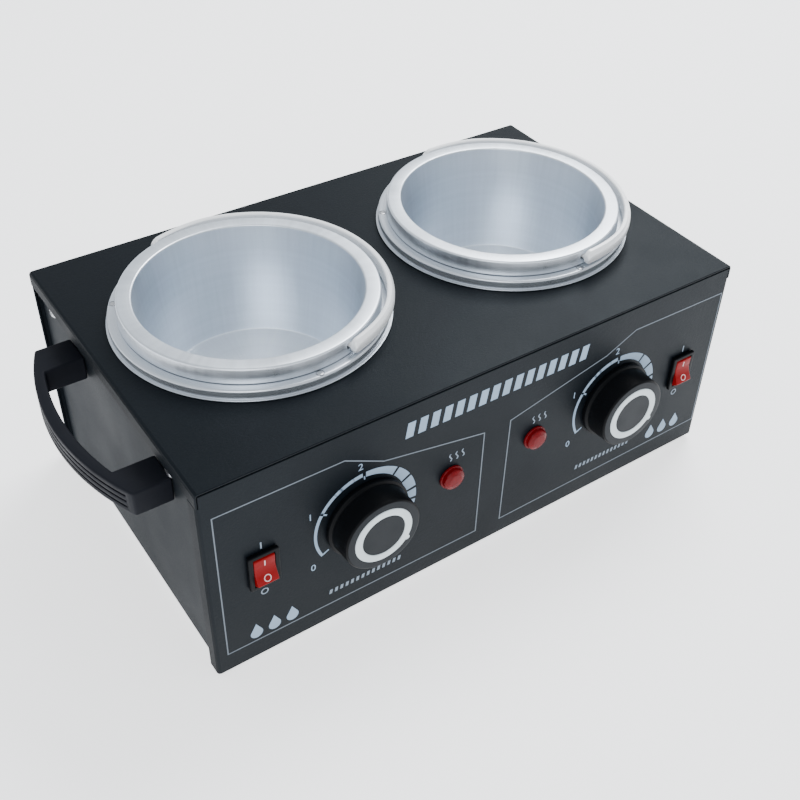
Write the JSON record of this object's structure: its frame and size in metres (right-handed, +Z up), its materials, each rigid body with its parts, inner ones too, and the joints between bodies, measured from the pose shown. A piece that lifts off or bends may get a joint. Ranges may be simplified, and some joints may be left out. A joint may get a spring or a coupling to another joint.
{
  "type": "wax warmer",
  "caption": "Sheet-metal countertop warmer with heated wells, lift-out aluminium pots with bail handles, a side carrying handle, dial knobs, rocker switches and pilot lamps.",
  "frame": {"origin": "middle of the footprint, the side handle included, on the surface the feet stand on", "axes": "+Z up, +X to the right along the control panel as its user sees it, -Y out of the control panel"},
  "size_m": [0.3272, 0.205, 0.1319],
  "materials": {
    "powder_coat": "fine-textured dark blue-grey powder coat",
    "satin_coat": "satin grey coat",
    "aluminium": "satin spun aluminium",
    "polished_aluminium": "polished",
    "zinc_steel": "zinc plated",
    "brass": "plain turned",
    "heater_band": "heat-dulled steel jacket",
    "rubber": "matte",
    "black_nylon": "moulded, satin",
    "knob_plastic": "moulded, satin",
    "white_plastic": "satin white",
    "thermoplastic": "heat-resistant, cream",
    "rocker_red": "glossy red",
    "lamp_red": "clear red"
  },
  "bodies": {
    "casing": {"back_panel": "satin_coat", "base_plate": "zinc_steel", "cord_gland": "black_nylon", "foot_front_left": "rubber", "foot_front_right": "rubber", "foot_rear_left": "rubber", "foot_rear_right": "rubber", "foot_screw_front_left": "zinc_steel", "foot_screw_front_right": "zinc_steel", "foot_screw_rear_left": "zinc_steel", "foot_screw_rear_right": "zinc_steel", "front_panel": "powder_coat", "gland_nut": "black_nylon", "handle": "black_nylon", "handle_screw_front": "zinc_steel", "handle_screw_rear": "zinc_steel", "heater_left": "heater_band", "heater_right": "heater_band", "lamp_body_left": "black_nylon", "lamp_body_right": "black_nylon", "lamp_lens_left": "lamp_red", "lamp_lens_right": "lamp_red", "side_panel_left": "satin_coat", "side_panel_right": "satin_coat", "side_screw_front_left": "zinc_steel", "side_screw_front_right": "zinc_steel", "side_screw_rear_left": "zinc_steel", "side_screw_rear_right": "zinc_steel", "switch_housing_left": "black_nylon", "switch_housing_right": "black_nylon", "terminal_block": "thermoplastic", "thermal_cutout_left": "thermoplastic", "thermal_cutout_right": "thermoplastic", "thermostat_left": "zinc_steel", "thermostat_nut_left": "brass", "thermostat_nut_right": "brass", "thermostat_right": "zinc_steel", "top_cover": "powder_coat", "well_clamp_left": "zinc_steel", "well_clamp_right": "zinc_steel", "well_left": "aluminium", "well_right": "aluminium"},
    "pot_left": {"pot_left": "aluminium"},
    "bail_left": {"bail_left": "polished_aluminium"},
    "knob_left": {"knob_left": "knob_plastic", "knob_ring_left": "white_plastic", "thermostat_shaft_left": "zinc_steel"},
    "rocker_left": {"rocker_left": "rocker_red"},
    "pot_right": {"pot_right": "aluminium"},
    "bail_right": {"bail_right": "polished_aluminium"},
    "knob_right": {"knob_right": "knob_plastic", "knob_ring_right": "white_plastic", "thermostat_shaft_right": "zinc_steel"},
    "rocker_right": {"rocker_right": "rocker_red"}
  },
  "joints": [
    {"name": "pot_lift_left", "type": "slide", "parent": "casing", "child": "pot_left", "axis": [0, 0, 1], "range_m": [0, 0.09]},
    {"name": "bail_hinge_left", "type": "hinge", "parent": "pot_left", "child": "bail_left", "pos_m": [-0.0601, 0.0082, 0.1281], "axis": [0.309, -0.9511, 0], "range_deg": [0, 180]},
    {"name": "knob_turn_left", "type": "hinge", "parent": "casing", "child": "knob_left", "pos_m": [-0.0574, -0.0875, 0.0622], "axis": [0, -1, 0], "range_deg": [0, 243]},
    {"name": "rocker_press_left", "type": "hinge", "parent": "casing", "child": "rocker_left", "pos_m": [-0.1101, -0.0865, 0.0606], "axis": [1, 0, 0], "range_deg": [0, 24]},
    {"name": "pot_lift_right", "type": "slide", "parent": "casing", "child": "pot_right", "axis": [0, 0, 1], "range_m": [0, 0.09]},
    {"name": "bail_hinge_right", "type": "hinge", "parent": "pot_right", "child": "bail_right", "pos_m": [0.0899, 0.0098, 0.1281], "axis": [0.0698, -0.9976, 0], "range_deg": [0, 180]},
    {"name": "knob_turn_right", "type": "hinge", "parent": "casing", "child": "knob_right", "pos_m": [0.0926, -0.0875, 0.0622], "axis": [0, -1, 0], "range_deg": [0, 243]},
    {"name": "rocker_press_right", "type": "hinge", "parent": "casing", "child": "rocker_right", "pos_m": [0.1399, -0.0865, 0.0606], "axis": [1, 0, 0], "range_deg": [0, 24]}
  ]
}
